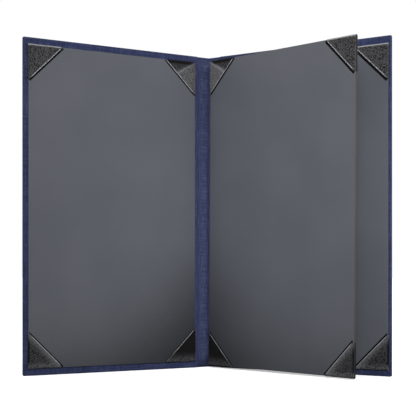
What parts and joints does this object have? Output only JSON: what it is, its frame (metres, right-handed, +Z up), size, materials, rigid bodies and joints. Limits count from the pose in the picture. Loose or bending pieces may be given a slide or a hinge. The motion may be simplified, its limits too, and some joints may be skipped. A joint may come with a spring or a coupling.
{
  "type": "menu cover",
  "caption": "Free-standing book-cloth menu cover, half open, with lined faces, corner pockets for sheets and a hinged inner leaf.",
  "frame": {"origin": "middle of the footprint of the open, standing cover, on the table", "axes": "+Z up along the hinge line, +X to the reader's right, -Y towards the reader who looks into the open covers"},
  "size_m": [0.405, 0.184, 0.373],
  "materials": {
    "navy_book_cloth": "matt linen weave",
    "spine_lining_cloth": "matt linen weave",
    "grey_liner_card": "smooth matt card",
    "black_leatherette": "fine grained, low sheen",
    "core_board": "raw brown board"
  },
  "bodies": {
    "back_cover": {"back_cloth": "navy_book_cloth", "back_board": "core_board", "back_liner": "grey_liner_card", "back_pocket_tail_spine": "black_leatherette", "back_pocket_head_spine": "black_leatherette", "back_pocket_tail_fore": "black_leatherette", "back_pocket_head_fore": "black_leatherette", "spine_cloth": "navy_book_cloth", "spine_lining": "spine_lining_cloth"},
    "leaf": {"leaf_board": "core_board", "leaf_reader_liner": "grey_liner_card", "leaf_rear_liner": "grey_liner_card", "leaf_hinge_cloth": "spine_lining_cloth", "leaf_reader_pocket_tail_spine": "black_leatherette", "leaf_reader_pocket_head_spine": "black_leatherette", "leaf_reader_pocket_tail_fore": "black_leatherette", "leaf_reader_pocket_head_fore": "black_leatherette", "leaf_rear_pocket_tail_spine": "black_leatherette", "leaf_rear_pocket_head_spine": "black_leatherette", "leaf_rear_pocket_tail_fore": "black_leatherette", "leaf_rear_pocket_head_fore": "black_leatherette"},
    "front_cover": {"front_cloth": "navy_book_cloth", "front_board": "core_board", "front_liner": "grey_liner_card", "front_pocket_tail_spine": "black_leatherette", "front_pocket_head_spine": "black_leatherette", "front_pocket_tail_fore": "black_leatherette", "front_pocket_head_fore": "black_leatherette"}
  },
  "joints": [
    {"name": "leaf_hinge", "type": "hinge", "parent": "back_cover", "child": "leaf", "pos_m": [0.00242, 0.0826, 0.1865], "axis": [0, 0, -1], "range_deg": [-13.1, 96.9], "deforming": ["leaf_hinge_cloth"]},
    {"name": "front_cover_hinge", "type": "hinge", "parent": "leaf", "child": "front_cover", "pos_m": [0.00242, 0.0826, 0.1865], "axis": [0, 0, -1], "range_deg": [-99.3, 80.7], "deforming": ["spine_cloth", "spine_lining"]}
  ]
}
